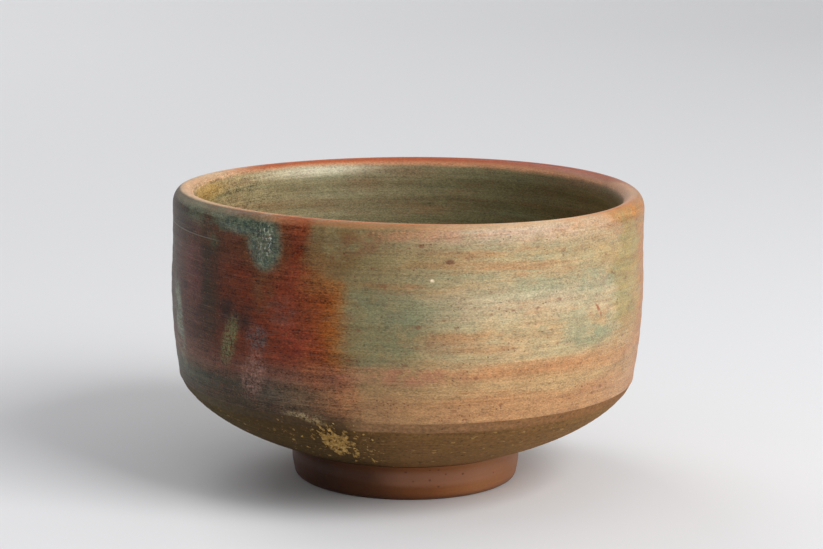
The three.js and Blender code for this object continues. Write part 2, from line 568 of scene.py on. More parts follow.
class Nodes:
    """The node tree of one new material."""

    def __init__(self, name: str) -> None:
        """Starts a material with its shader alone.

        Args:
            name: the material's name.
        """
        self.material = bpy.data.materials.new(name)
        self.material.use_nodes = True
        self.shader = self.material.node_tree.nodes["Principled BSDF"]

    def feed(self, socket: bpy.types.NodeSocket, source: Source) -> None:
        """Links a socket to a value or another socket, or sets it to a plain number or colour.

        Args:
            socket: the input to feed.
            source: what feeds it.
        """
        plug = source.socket if isinstance(source, Value) else source
        if isinstance(plug, bpy.types.NodeSocket):
            self.material.node_tree.links.new(plug, socket)
        else:
            socket.default_value = plug

    def node(
        self, kind: str, settings: Mapping[str, object], inputs: Mapping[str | int, Source]
    ) -> bpy.types.Node:
        """Adds a node.

        Args:
            kind: the node's type.
            settings: its own settings; "stops" are a ramp's places and colours.
            inputs: what each of its sockets is fed with.

        Returns:
            The node.
        """
        node = self.material.node_tree.nodes.new(kind)
        for name, setting in settings.items():
            if name == "stops":
                self.set_stops(node.color_ramp, setting)
            else:
                setattr(node, name, setting)
        for name, source in inputs.items():
            self.feed(node.inputs[name], source)
        return node

    @staticmethod
    def set_stops(ramp: bpy.types.ColorRamp, stops: Sequence[tuple[float, Colour]]) -> None:
        """Gives a ramp its stops, in order.

        Args:
            ramp: the ramp.
            stops: places from 0 to 1, and the colour at each.
        """
        while len(ramp.elements) < len(stops):
            ramp.elements.new(1.0)
        for element, (place, colour) in zip(ramp.elements, stops):
            element.position = place
            element.color = colour

    def math(self, operation: str, first: Value | float, second: Value | float) -> Value:
        """Works out one operation on two numbers."""
        node = self.node("ShaderNodeMath", {"operation": operation}, {0: first, 1: second})
        return Value(self, node.outputs[0])

    def step(self, value: Value, low: float, high: float) -> Value:
        """Rises smoothly from 0 to 1 as a value goes from low to high.

        Args:
            value: the value.
            low: where the rise starts; above high, it falls instead.
            high: where the rise ends.

        Returns:
            The share, from 0 to 1.
        """
        inputs = {"Value": value, "From Min": low, "From Max": high}
        node = self.node("ShaderNodeMapRange", {"interpolation_type": "SMOOTHSTEP"}, inputs)
        return Value(self, node.outputs["Result"])

    def band(self, value: Value, low: float, high: float, edge: float) -> Value:
        """Is 1 between low and high and falls to 0 within an edge's width outside them."""
        return self.step(value, low - edge, low) * (1 - self.step(value, high, high + edge))

    def stretched(self, vector: Source, across: float, up: float) -> bpy.types.NodeSocket:
        """Scales a place, alike across the bowl and by another factor upwards."""
        inputs = {0: vector, 1: (across, across, up)}
        return self.node("ShaderNodeVectorMath", {"operation": "MULTIPLY"}, inputs).outputs[0]

    def ruffled(self, vector: Source, scale: float, reach: float) -> bpy.types.NodeSocket:
        """Pushes places about a little, so that round things drawn there come out ragged.

        Args:
            vector: the place.
            scale: how many pushes a unit of the place has.
            reach: how far they go.

        Returns:
            The pushed place.
        """
        inputs = {"Vector": vector, "Scale": scale, "Detail": 2.0}
        push = self.node("ShaderNodeTexNoise", {}, inputs).outputs["Color"]
        settings = {"operation": "MULTIPLY_ADD"}
        inputs = {0: push, 1: (reach, reach, reach), 2: vector}
        return self.node("ShaderNodeVectorMath", settings, inputs).outputs[0]

    def dots(self, vector: Source, size: float, share: float) -> Value:
        """Scatters small dots, one for each unit of the vector at most.

        Args:
            vector: the place.
            size: the dots' radius, as a share of a unit.
            share: how many units have a dot, from 0 to 1.

        Returns:
            1 in a dot and 0 between them.
        """
        cells = self.node("ShaderNodeTexVoronoi", {}, {"Vector": vector, "Scale": 1.0})
        inside = 1 - self.step(Value(self, cells.outputs["Distance"]), size * 0.5, size)
        luck = self.node("ShaderNodeSeparateColor", {}, {"Color": cells.outputs["Color"]})
        chosen = self.math("LESS_THAN", Value(self, luck.outputs[0]), share)
        return inside * chosen

    def mix(self, share: Value | float, first: Source, second: Source) -> bpy.types.NodeSocket:
        """Mixes two colours, from the first at 0 to the second at 1.

        Args:
            share: how much of the second there is.
            first: the colour at 0.
            second: the colour at 1.

        Returns:
            The mixed colour.
        """
        settings = {"data_type": "RGBA", "clamp_factor": True}
        inputs = {"Factor": share, 6: first, 7: second}
        return self.node("ShaderNodeMix", settings, inputs).outputs[2]

    def ramp(self, value: Value, *stops: tuple[float, float, float, float]) -> bpy.types.NodeSocket:
        """Reads colours off a scale.

        Args:
            value: the place on the scale.
            stops: in order, each a place on it and the red, green and blue there, up to 255.

        Returns:
            The colour.
        """
        low, high = stops[0][0], stops[-1][0]
        share = (value - low) / (high - low)
        shares = [((place - low) / (high - low), fired(*colour)) for place, *colour in stops]
        return self.node("ShaderNodeValToRGB", {"stops": shares}, {"Fac": share}).outputs[0]

    def tinted(self, colour: Source, brightness: Value) -> bpy.types.NodeSocket:
        """Makes a colour lighter or darker, by a factor.

        Args:
            colour: the colour.
            brightness: the factor.

        Returns:
            The new colour.
        """
        scale = self.node("ShaderNodeVectorMath", {"operation": "SCALE"}, {0: colour})
        self.feed(scale.inputs["Scale"], brightness)
        return scale.outputs[0]

    def shade(self, colour: Source, roughness: Value, specular: float, relief: Value) -> None:
        """Feeds the shader.

        Args:
            colour: the surface's colour.
            roughness: how dull it is, from 0 to 1.
            specular: how strongly it mirrors, 0.5 for a plain dielectric.
            relief: the height of its fine bumps, in millimetres.
        """
        bump = self.node("ShaderNodeBump", {}, {"Distance": MM, "Height": relief})
        sources = {
            "Base Color": colour,
            "Roughness": roughness,
            "Specular IOR Level": specular,
            "Normal": bump.outputs["Normal"],
        }
        for name, source in sources.items():
            self.feed(self.shader.inputs[name], source)


class Spot:
    """Where a point of the bowl is: in millimetres, and in degrees to the right of the front."""

    def __init__(self, nodes: Nodes) -> None:
        """Reads the place from the object's own coordinates.

        Args:
            nodes: the tree that it works in.
        """
        self.nodes = nodes
        coordinates = nodes.node("ShaderNodeTexCoord", {}, {}).outputs["Object"]
        self.place = nodes.stretched(coordinates, 1 / MM, 1 / MM)
        axes = nodes.node("ShaderNodeSeparateXYZ", {}, {"Vector": self.place})
        self.right = Value(nodes, axes.outputs["X"])
        depth = Value(nodes, axes.outputs["Y"])
        self.height = Value(nodes, axes.outputs["Z"])
        self.radius = (self.right**2 + depth**2) ** 0.5
        self.turn = nodes.math("ARCTAN2", self.right, 0 - depth) * math.degrees(1)

    def clouds(self, across: float, up: float, detail: float, roughness: float = 0.55) -> Value:
        """Lays soft noise over the bowl.

        Args:
            across: how many clouds a millimetre has level with the rim.
            up: how many it has upwards.
            detail: how many finer layers it has.
            roughness: how strong those are.

        Returns:
            The noise, from 0 to 1 round 0.5.
        """
        place = self.nodes.stretched(self.place, across, up)
        inputs = {"Vector": place, "Scale": 1.0, "Detail": detail, "Roughness": roughness}
        return Value(self.nodes, self.nodes.node("ShaderNodeTexNoise", {}, inputs).outputs["Fac"])

    def wandered(self, turn_reach: float, height_reach: float) -> Spot:
        """The same spot, moved about by slow noise so that what is drawn there has a fired edge.

        Args:
            turn_reach: how far it moves round the bowl, in degrees.
            height_reach: how far it moves up or down, in millimetres.

        Returns:
            The moved spot.
        """
        wander = copy.copy(self)
        broad = self.clouds(0.11, 0.07, 4, 0.6)
        drawn = self.clouds(0.03, 0.35, 4, 0.6)
        wander.turn = self.turn + (broad - 0.5) * turn_reach
        wander.height = self.height + (drawn - 0.5) * height_reach
        return wander


@dataclass(frozen=True)
class Zone:
    """A patch on the bowl's side with a soft edge: sizes in degrees round it and millimetres up."""

    turn: float
    height: float
    half_turn: float
    half_height: float
    lean: float = 0.0
    softness: float = 0.5

    def share(self, turn: float, height: float) -> float:
        """The patch as a plain number, 1 well inside and 0 outside.

        Args:
            turn: degrees round the bowl from the front, growing to the right.
            height: millimetres above the floor.

        Returns:
            How much of the patch is there.
        """
        up = height - self.height
        across = (turn - self.turn - up * self.lean) / self.half_turn
        distance = math.hypot(across, up / self.half_height)
        return eased((1 + self.softness - distance) / (2 * self.softness))

    def mask(self, spot: Spot) -> Value:
        """How much of the patch a spot has.

        Args:
            spot: the place on the bowl.

        Returns:
            1 well inside, 0 outside.
        """
        up = spot.height - self.height
        across = (spot.turn - self.turn - up * self.lean) / self.half_turn
        distance = (across**2 + (up / self.half_height) ** 2) ** 0.5
        return 1 - spot.nodes.step(distance, 1 - self.softness, 1 + self.softness)


# Where the run of ash glaze hangs: its broad head, and the neck that ties it to the rim.
RUN_ZONES = (Zone(-34.0, 68.2, 4.6, 6.6, 0.0, 0.3), Zone(-40.0, 71.7, 8.0, 2.2, 0.0, 0.5))
# The run's pale heart, and the brown brim round it.
RUN_HEART = Zone(-34.0, 68.4, 2.8, 4.2, 0.0, 0.5)
RUN_BRIM = Zone(-34.0, 67.6, 6.8, 9.2, 0.0, 0.3)

# The patches where ash, flame and neighbours in the kiln touched the wall, and a few painted
# highlights, each marked where it stands: the place, the colour up to 255 and the strength. The
# first ones are patchy, the next ones broken up finely, and the last ones whole.
Touch = tuple[Zone, tuple[float, float, float], float]
TOUCHES: tuple[Touch, ...] = (
    (Zone(-52.6, 72.4, 16, 3.0), (84, 94, 72), 0.95),
    (Zone(-51.6, 66.5, 2.4, 2.6), (80, 88, 60), 0.7),
    (Zone(-34.8, 56, 3.2, 5), (96, 72, 46), 0.5),
    (Zone(-42.6, 50, 5.4, 3.6), (48, 32, 26), 0.9),
    (Zone(-60.6, 58, 4, 11), (104, 56, 52), 0.7),
    (Zone(-52.6, 55, 4, 12), (56, 42, 26), 0.8),
    (Zone(-29.6, 52, 4, 3.5), (96, 72, 66), 0.5),
    (Zone(-24.6, 45, 5, 5), (134, 56, 38), 0.5),
    (Zone(-21.6, 38, 4, 4), (146, 84, 50), 0.5),
    # A pale grey-green streak at the far left: a painted highlight.
    (Zone(-71, 43.5, 3.6, 10, -0.2), (126, 132, 114), 0.95),
    (Zone(-3.5, 46.5, 8, 6, 0.7, 0.9), (108, 112, 82), 0.7),
    (Zone(-5, 55, 7, 5, -0.5, 0.9), (108, 116, 90), 0.6),
    (Zone(49.4, 59, 9, 4), (146, 150, 118), 0.8),
    (Zone(49.4, 45, 9, 2.6), (144, 146, 112), 0.85),
    (Zone(29.4, 55.5, 14, 2), (186, 172, 142), 0.5),
    (Zone(21.4, 39.4, 34, 1.6), (184, 130, 86), 0.55),
    (Zone(-3.6, 60, 9, 0.9), (142, 96, 62), 0.55),
    # A pinkish cream band under the front-right lip: a painted highlight.
    (Zone(29.4, 71.4, 26, 1.6), (196, 166, 140), 0.6),
    (Zone(-16, 67.5, 5.5, 6), (112, 82, 44), 0.8),
    (Zone(-9, 69.5, 7, 2.4), (122, 72, 46), 0.5),
    (Zone(4, 71.8, 12, 1.4), (170, 114, 82), 0.5),
    (Zone(55, 41, 7, 3), (166, 130, 88), 0.5),
    (Zone(66, 40, 8, 8), (168, 122, 70), 0.6),
    (Zone(66, 73, 12, 2.2), (194, 124, 56), 0.7),
    (Zone(-27, 72.4, 4, 2.4), (142, 74, 44), 0.7),
    (Zone(-21, 62, 4, 5), (132, 98, 54), 0.5),
    (Zone(54, 64, 7, 3), (186, 150, 96), 0.5),
    (Zone(24, 50, 9, 6, 0.0, 0.9), (202, 170, 126), 0.35),
    (Zone(-1, 38.6, 14, 2.2), (158, 106, 80), 0.7),
    (Zone(9, 46, 6, 1.6, 0.0, 0.9), (160, 104, 74), 0.4),
    (Zone(-27.4, 43, 3, 2.4), (92, 28, 20), 0.6),
)
SPECKLED: tuple[Touch, ...] = (
    (Zone(-45, 43, 2.3, 5.6, 0.27), (106, 110, 72), 0.95),
    (Zone(-36.6, 44.8, 3.2, 3), (92, 86, 84), 0.75),
    (Zone(-37.8, 35.6, 3.4, 5.4, 0.27), (140, 104, 92), 0.85),
    (Zone(-24.4, 27.5, 3.8, 0.8, -1.6, 0.8), (156, 138, 104), 0.95),
)
DROPS: tuple[Touch, ...] = (
    (Zone(49.2, 51.6, 0.5, 1.0, -0.5, 0.5), (152, 76, 46), 0.8),
    (Zone(50.6, 49.4, 0.4, 0.9, -0.3, 0.5), (150, 84, 54), 0.7),
    (Zone(5.6, 61.7, 0.4, 0.4, 0.0, 0.5), (236, 214, 184), 0.9),
    (Zone(9.5, 65.6, 0.8, 0.6, 0.0, 0.5), (104, 54, 40), 0.7),
    # A pale grey-green band along the rim at the front left: a painted sheen.
    (Zone(-56, 73.4, 22, 0.8, 0.0, 0.8), (146, 148, 124), 0.5),
)


# -------------------------------------------------------------------------------- finishes


class Finish:
    """A finish, drawn by where a spot of the bowl is."""

    def material(self, name: str) -> bpy.types.Material:
        """Makes a new material of the finish.

        Args:
            name: the new material's name.

        Returns:
            The material.
        """
        nodes = Nodes(name)
        self.dress(nodes, Spot(nodes))
        return nodes.material

    def dress(self, nodes: Nodes, spot: Spot) -> None:
        """Feeds the shader; each finish does it in its own way."""
        raise NotImplementedError


@dataclass(frozen=True)
class WoodFiredGlaze(Finish):
    """A thin satin glaze: pale olive and peach on one side, flashed red and maroon on the other."""

    flash_edge: float = -14.2
    flash_end: float = -132.0
    roughness: float = 0.42
    specular: float = 0.12
    coat: float = 0.3
    coat_roughness: float = 0.34

    def pale_side(self, nodes: Nodes, spot: Spot) -> bpy.types.NodeSocket:
        """Warm and greenish bands laid on by the turning wheel, with drawn-out streaks.

        Args:
            nodes: the tree that it works in.
            spot: the place on the bowl.

        Returns:
            The colour.
        """
        bands = nodes.ramp(
            spot.height,
            (26, 174, 131, 88), (31, 184, 138, 94), (35, 184, 150, 105), (39, 186, 142, 97),
            (42, 190, 161, 118), (46, 188, 161, 119), (48.5, 188, 154, 110), (52, 189, 168, 131),
            (57, 184, 164, 130), (60, 177, 155, 117), (63, 178, 158, 118), (66.7, 176, 150, 108),
            (69, 174, 153, 116), (72, 190, 164, 132), (74, 204, 180, 150),
        )
        streaks = spot.clouds(0.03, 0.3, 9, 0.75)
        patches = spot.clouds(0.06, 0.16, 8, 0.72)
        warm = nodes.mix(nodes.step(streaks, 0.46, 0.64) * 0.6, bands, fired(178, 124, 80))
        green = nodes.step(patches + (0.5 - streaks) * 0.7, 0.46, 0.66)
        above_shoulder = nodes.step(spot.height, 38, 46)
        return nodes.mix(green * above_shoulder * 0.6, warm, fired(152, 156, 124))

    def front(self, nodes: Nodes, spot: Spot, colour: Source) -> bpy.types.NodeSocket:
        """The olive shade at the front, deeper towards the flash, and the tan right-hand side.

        Args:
            nodes: the tree that it works in.
            spot: the place on the bowl.
            colour: the colour laid on before.

        Returns:
            The new colour.
        """
        shade = nodes.step(spot.turn, 24, -12) * nodes.step(spot.turn, -150, -120)
        height = nodes.step(spot.height, 30, 44)
        olive = nodes.mix(height, fired(146, 110, 72), fired(116, 104, 66))
        shaded = nodes.mix(shade * 0.88, colour, olive)
        drift = spot.clouds(0.04, 0.16, 6, 0.7)
        edge = spot.turn + (drift - 0.5) * 30
        lichen = nodes.band(edge, 62, 71, 7) * nodes.band(spot.height, 48, 74, 8)
        yellowed = nodes.mix(lichen * 0.6, shaded, fired(152, 132, 66))
        far_end = nodes.step(spot.turn + (drift - 0.5) * 110, 142, 84)
        tan = nodes.step(edge, 66, 78) * far_end
        return nodes.mix(tan * 0.86, yellowed, fired(172, 108, 42))

    def flashed_side(self, nodes: Nodes, spot: Spot) -> bpy.types.NodeSocket:
        """Maroon to red-orange round the side, with blue-grey where the ash settled low.

        Args:
            nodes: the tree that it works in.
            spot: the place on the bowl.

        Returns:
            The colour.
        """
        upper = nodes.ramp(
            spot.turn,
            (-132, 112, 76, 50), (-118, 84, 58, 46), (-96, 66, 54, 44), (-80, 74, 60, 48),
            (-66, 84, 52, 38), (-55, 60, 34, 18), (-45, 94, 44, 22), (-36, 106, 44, 20),
            (-26, 122, 54, 30), (-20, 126, 62, 24), (-15.5, 142, 84, 32), (-12, 140, 94, 46),
        )
        rim = nodes.ramp(
            spot.turn,
            (-132, 98, 68, 46), (-70, 56, 42, 28), (-55, 66, 42, 18), (-45, 88, 48, 26),
            (-33, 100, 50, 26), (-26, 108, 42, 16), (-20, 112, 64, 28), (-14, 118, 80, 38),
        )
        low = nodes.ramp(
            spot.turn,
            (-132, 108, 84, 60), (-100, 84, 76, 64), (-66, 80, 80, 62), (-55, 66, 62, 48),
            (-45, 62, 56, 42), (-33, 80, 70, 58), (-22, 104, 80, 58), (-13, 152, 102, 66),
        )
        low = nodes.mix(nodes.step(spot.height, 31, 27) * 0.8, low, fired(68, 52, 34))
        mauve = nodes.mix(0.55, low, fired(126, 72, 56))
        body = nodes.mix(nodes.step(spot.height, 61, 66), upper, rim)
        middle = nodes.mix(nodes.step(spot.height, 37.5, 42), mauve, body)
        return nodes.mix(nodes.step(spot.height, 33, 36.5), low, middle)

    def marks(self, nodes: Nodes, spot: Spot, colour: Source) -> bpy.types.NodeSocket:
        """The patches where ash, flame and neighbours in the kiln touched the wall, and a few
        painted highlights.

        Args:
            nodes: the tree that it works in.
            spot: the place on the bowl.
            colour: the colour laid on before.

        Returns:
            The new colour.
        """
        patchy = nodes.step(spot.clouds(0.22, 0.3, 5, 0.7), 0.34, 0.6)
        broken = nodes.step(spot.clouds(1.3, 1.1, 4, 0.75), 0.38, 0.58)
        for touches, cover in ((TOUCHES, patchy), (SPECKLED, broken), (DROPS, 1.0)):
            for zone, touch, strength in touches:
                colour = nodes.mix(zone.mask(spot) * cover * strength, colour, fired(*touch))
        return colour

    def inside(self, nodes: Nodes, spot: Spot) -> bpy.types.NodeSocket:
        """Olive inside the bowl, deeper to the right, with turned streaks and a rusty band.

        Args:
            nodes: the tree that it works in.
            spot: the place on the bowl.

        Returns:
            The colour.
        """
        across = nodes.ramp(
            spot.right,
            (-58, 166, 143, 98), (-42, 156, 141, 104), (-24, 146, 135, 102), (0, 128, 118, 88),
            (30, 112, 106, 74), (58, 116, 94, 54),
        )
        streaks = spot.clouds(0.03, 0.34, 5, 0.6)
        rusty = nodes.mix(nodes.step(streaks, 0.52, 0.7) * 0.55, across, fired(134, 98, 68))
        return nodes.mix(nodes.step(streaks, 0.5, 0.3) * 0.5, rusty, fired(112, 118, 88))

    def lip(self, nodes: Nodes, spot: Spot, colour: Source) -> bpy.types.NodeSocket:
        """The lip, where the glaze drew thin and burnt orange, with painted highlights on and under
        it.

        Args:
            nodes: the tree that it works in.
            spot: the place on the bowl.
            colour: the colour laid on before.

        Returns:
            The new colour.
        """
        drawn = spot.clouds(0.08, 0.08, 3, 0.6)
        height = spot.height + (drawn - 0.5) * 1.4
        # The lip's colour round the bowl; the pale stops at 35 and 86 degrees are painted
        # highlights.
        lip_colour_and_highlights = nodes.ramp(
            spot.turn,
            (-180, 170, 86, 50), (-136, 178, 96, 58), (-116, 206, 172, 136), (-60, 204, 170, 132),
            (-36, 200, 144, 100), (-26, 178, 102, 62), (5, 188, 120, 72), (35, 226, 184, 140),
            (62, 192, 116, 56), (86, 186, 150, 122), (112, 164, 92, 62), (140, 158, 78, 48),
            (180, 170, 86, 50),
        )
        near = nodes.band(spot.turn, -96, 96, 16)
        rounding = nodes.step(spot.radius - near * 1.9, 55.7, 54.3)
        rounded = nodes.mix(rounding * 0.6, lip_colour_and_highlights, fired(218, 168, 126))
        yellow = Zone(-101, 70.6, 13, 2.6).mask(spot)
        # A pale band under the back-left lip, inside: a painted highlight.
        painted_highlight_under_lip = Zone(-150, 71.6, 16, 1.5, 0.0, 0.8).mask(spot)
        inner = nodes.step(spot.radius, 58, 57)
        warmed = nodes.mix(yellow * inner * 0.7, colour, fired(184, 146, 78))
        thick = nodes.mix(painted_highlight_under_lip * inner * 0.65, warmed, fired(226, 214, 180))
        dark_side = nodes.band(spot.turn, -100, -40, 10)
        outside = nodes.step(height, 72.6, 73.8) * nodes.step(spot.radius, 57.4, 58.4)
        crest = nodes.step(height, 71.8, 73.2) * nodes.step(spot.radius + near * 0.6, 58.8, 58)
        share = nodes.math("MAXIMUM", outside * (0.5 - dark_side * 0.35), crest)
        return nodes.mix(share, thick, rounded)

    def run(self, nodes: Nodes, spot: Spot) -> tuple[Value, bpy.types.NodeSocket]:
        """The run of ash glaze: how much of it is at a spot, and its blue-green colour.

        Args:
            nodes: the tree that it works in.
            spot: the place on the bowl.

        Returns:
            The share of the run, and its colour.
        """
        head, neck = (zone.mask(spot) for zone in RUN_ZONES)
        share = nodes.math("MAXIMUM", head, neck)
        clots = spot.clouds(0.8, 0.6, 5, 0.7)
        ground = nodes.mix(nodes.step(clots, 0.4, 0.62), fired(58, 74, 62), fired(104, 112, 88))
        needles = spot.clouds(2.2, 0.9, 3, 0.6)
        core = RUN_HEART.mask(spot)
        bright = nodes.step(needles, 0.54, 0.64) * core
        return share, nodes.mix(bright * 0.8, ground, fired(186, 190, 176))

    def flash(self, nodes: Nodes, spot: Spot, wandered: Spot) -> Value:
        """How much of the flashed side's colour a spot has, with edges licked by the flame.

        Args:
            nodes: the tree that it works in.
            spot: the place on the bowl.
            wandered: the same place, moved about for fired edges.

        Returns:
            1 on the flashed side, 0 elsewhere.
        """
        licked = spot.clouds(0.2, 0.24, 5, 0.7) * 9 - 4.5
        leaning = wandered.turn + (wandered.height - 50) * 0.12
        leaning = leaning + nodes.step(wandered.height, 57, 65) * 5
        near = nodes.step(leaning + licked, self.flash_edge + 4.5, self.flash_edge - 3.5)
        ragged = wandered.turn + licked * 3
        return near * nodes.step(ragged, self.flash_end - 10, self.flash_end + 10)

    def outer_side(
        self, nodes: Nodes, spot: Spot, wandered: Spot, flashed: Value
    ) -> tuple[Value, bpy.types.NodeSocket]:
        """Lays the outside on, from the pale ground to the run of ash glaze.

        Args:
            nodes: the tree that it works in.
            spot: the true spot.
            wandered: the spot, moved about for fired edges.
            flashed: how much of the flashed side's colour it has.

        Returns:
            How much of the run a spot has, and the colour.
        """
        pale = self.front(nodes, wandered, self.pale_side(nodes, wandered))
        colour = nodes.mix(flashed, pale, self.flashed_side(nodes, wandered))
        soft_spot = spot.wandered(4.0, 2.4)
        colour = self.marks(nodes, soft_spot, colour)
        run, run_colour = self.run(nodes, soft_spot)
        colour = nodes.mix(RUN_BRIM.mask(soft_spot) * 0.45, colour, fired(92, 66, 38))
        return run, nodes.mix(run, colour, run_colour)

    def dress(self, nodes: Nodes, spot: Spot) -> None:
        """Lays the whole glaze on: its ground, then its grain, specks, scratches and gloss.

        Args:
            nodes: the tree that it works in.
            spot: the place on the bowl.
        """
        wandered = spot.wandered(9.0, 3.6)
        flashed = self.flash(nodes, spot, wandered)
        run, outside = self.outer_side(nodes, spot, wandered, flashed)
        within = nodes.step(spot.radius, 57, 55.8)
        within = nodes.math("MAXIMUM", within, nodes.step(spot.height, 26.6, 26))
        on_lip = nodes.step(spot.height, 72, 73.2)
        colour = nodes.mix(within, outside, self.inside(nodes, wandered))
        colour = self.lip(nodes, spot, colour)

        grain = spot.clouds(1.5, 2.1, 4, 0.8)
        lines = spot.clouds(0.05, 2.2, 3, 0.6)
        blotches = spot.clouds(0.26, 0.55, 6, 0.75)
        grit = spot.clouds(1.7, 4.6, 2, 0.7)
        mottle = (grain - 0.5) * 0.95 + (lines - 0.5) * 0.7 + (blotches - 0.5) * 0.84
        mottle = mottle * (1.1 + flashed * 1.3) + (grit - 0.5) * (1.7 + flashed)
        mottle = mottle * (1 - nodes.step(spot.height, 72.6, 73.6) * 0.6)
        colour = nodes.tinted(colour, 1 + mottle)

        rusty = nodes.step(spot.clouds(0.1, 0.3, 5, 0.65), 0.47, 0.62)
        speckle = rusty * nodes.step(grain, 0.46, 0.62) * (1 - on_lip)
        colour = nodes.mix(speckle * 0.35, colour, fired(120, 66, 44))
        ruffled = nodes.ruffled(spot.place, 1.1, 0.8)
        dust = nodes.dots(nodes.stretched(ruffled, 1.25, 1.5), 0.36, 0.34)
        blots = nodes.dots(nodes.stretched(ruffled, 0.36, 0.62), 0.34, 0.34)
        glints = nodes.dots(nodes.stretched(ruffled, 0.9, 1.0), 0.26, 0.3) * flashed
        open_wall = (1 - run) * (1 - on_lip * 0.85) * (1 - within * 0.6)
        colour = nodes.mix(dust * (0.2 + rusty * 0.5) * open_wall, colour, fired(88, 52, 34))
        colour = nodes.mix(blots * rusty * 0.6 * open_wall, colour, fired(112, 62, 40))
        colour = nodes.mix(glints * 0.3 * (1 - within), colour, fired(176, 112, 62))

        scratches = nodes.step(spot.clouds(0.13, 4.4, 3), 0.58, 0.72)
        colour = nodes.mix(scratches * flashed * 0.2, colour, fired(166, 132, 116))
        # The incised ring: a groove in the relief, painted paler along it as a painted highlight.
        ring = nodes.band(spot.height, 66.5, 66.6, 0.2) * nodes.band(wandered.turn, -80, -54, 8)
        colour = nodes.mix(ring * 0.4, colour, fired(142, 134, 120))
        roughness = self.roughness + (grain - 0.5) * 0.3 + dust * 0.12 - run * 0.1
        relief = grain * 0.07 + lines * 0.06 - dust * 0.03 - scratches * 0.02 - ring * 0.06
        nodes.shade(colour, roughness, self.specular, relief)
        coat = self.coat - flashed * 0.26 + run * 0.3
        nodes.feed(nodes.shader.inputs["Coat Weight"], coat)
        nodes.feed(nodes.shader.inputs["Coat Roughness"], self.coat_roughness)


@dataclass(frozen=True)
class BareClay(Finish):
    """Coarse brown stoneware, smoother and greyer in a band under the glaze."""

    trim_edge: float = 24.6
    roughness: float = 0.82
    specular: float = 0.15

    def dress(self, nodes: Nodes, spot: Spot) -> None:
        """Gives the clay its grog, its ochre chips and its trimming lines.

        Args:
            nodes: the tree that it works in.
            spot: the place on the bowl.
        """
        wander = spot.wandered(14.0, 2.0)
        rough_clay = nodes.ramp(
            wander.turn,
            (-180, 100, 74, 42), (-110, 84, 66, 40), (-60, 78, 64, 36), (-40, 72, 54, 26),
            (-18, 72, 52, 22), (0, 112, 80, 44), (35, 128, 93, 52), (70, 142, 105, 60),
            (130, 118, 88, 50), (180, 100, 74, 42),
        )
        smooth_clay = nodes.ramp(
            wander.turn,
            (-180, 114, 86, 56), (-60, 86, 76, 58), (-40, 72, 58, 40), (-16, 78, 58, 36),
            (-9, 138, 104, 72), (20, 138, 100, 66), (45, 140, 98, 60), (120, 144, 104, 68),
            (180, 114, 86, 56),
        )
        banded = nodes.step(wander.height, self.trim_edge - 0.5, self.trim_edge + 0.1)
        colour = nodes.mix(banded, rough_clay, smooth_clay)
        colour = nodes.mix(nodes.step(spot.radius, 34, 26), colour, fired(108, 78, 44))
        grog = spot.clouds(1.1, 1.4, 4, 0.7)
        drag = spot.clouds(0.1, 0.9, 5, 0.7)
        colour = nodes.tinted(colour, 1 + (grog - 0.5) * 1.9 + (drag - 0.5) * 0.8)
        ruffled = nodes.ruffled(spot.place, 1.1, 1.4)
        chips = nodes.dots(nodes.stretched(ruffled, 0.42, 1.1), 0.3, 0.26)
        crumbs = nodes.dots(nodes.stretched(ruffled, 1.0, 1.2), 0.3, 0.35)
        sparse = 1 - banded * 0.75
        colour = nodes.mix(chips * sparse * 0.65, colour, fired(176, 142, 86))
        colour = nodes.mix(crumbs * sparse * 0.4, colour, fired(150, 116, 70))
        pits = nodes.dots(nodes.stretched(spot.place, 0.6, 0.8), 0.26, 0.3)
        colour = nodes.mix(pits * 0.5, colour, fired(46, 32, 20))
        spilt = Zone(-22.4, 26.5, 2.2, 0.9, -1.6, 0.7).mask(spot) * nodes.step(grog, 0.4, 0.56)
        colour = nodes.mix(spilt * 0.85, colour, fired(170, 146, 104))
        relief = grog * 0.16 + drag * 0.1 + chips * 0.08 - pits * 0.12
        relief = relief * (1 - banded * 0.55)
        nodes.shade(colour, self.roughness + (grog - 0.5) * 0.3, self.specular, relief)


